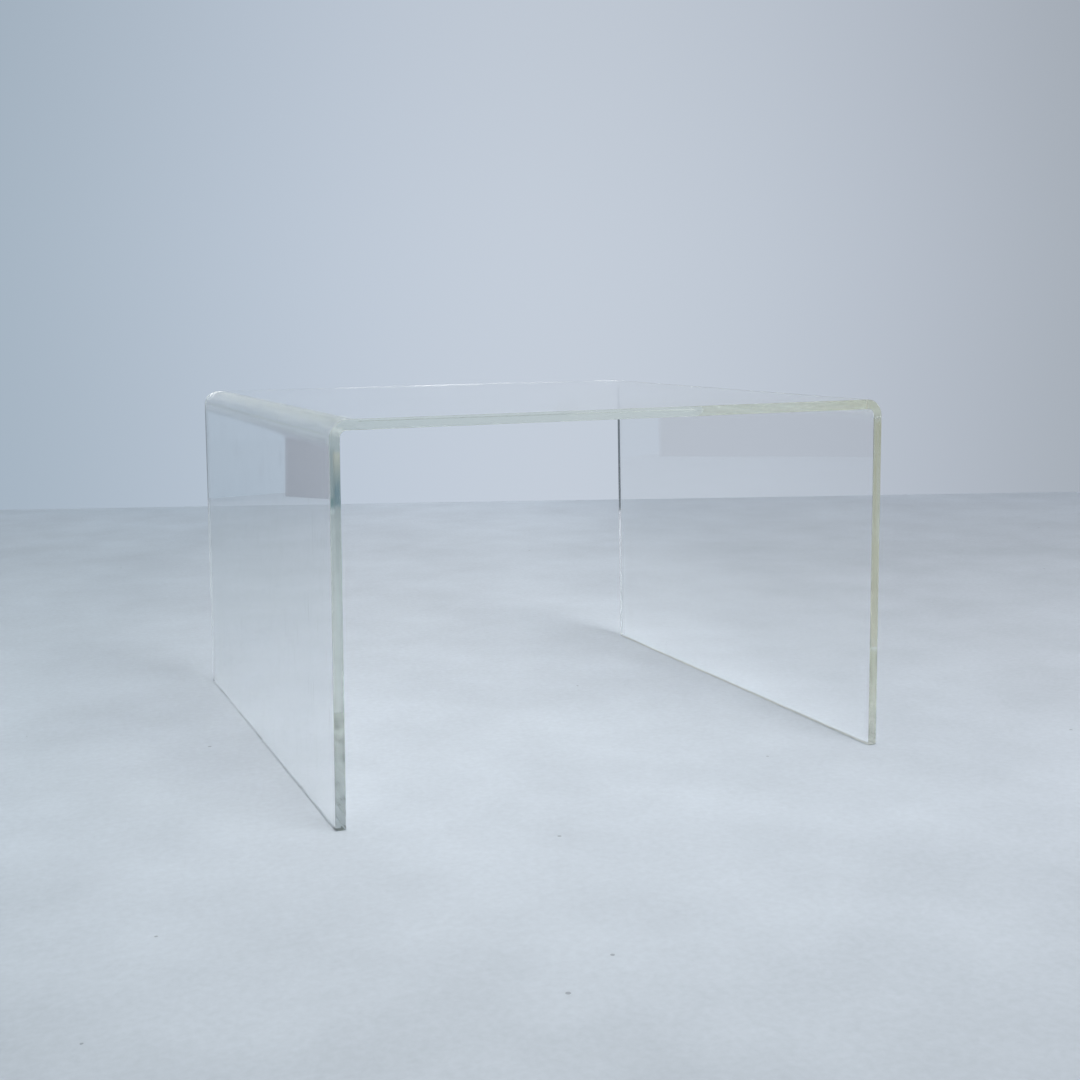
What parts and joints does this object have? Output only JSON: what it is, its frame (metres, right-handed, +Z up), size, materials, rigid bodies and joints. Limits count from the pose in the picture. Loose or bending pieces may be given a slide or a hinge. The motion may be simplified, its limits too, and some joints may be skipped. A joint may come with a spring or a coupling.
{
  "type": "waterfall coffee table",
  "caption": "Clear acrylic waterfall coffee table: a thick sheet line-bent into a flat top and slightly splayed panel legs, open front and back.",
  "frame": {"origin": "on the floor, under the middle of the top", "axes": "+Z up, +X from the left leg to the right leg, +Y along the bends from the front edge to the back edge"},
  "size_m": [0.7262, 0.704, 0.45],
  "materials": {
    "clear_acrylic": "clear cast acrylic, faces as cast, front and back edges polished, feet as sawn"
  },
  "bodies": {
    "root": {"acrylic_sheet": "clear_acrylic"}
  },
  "joints": []
}
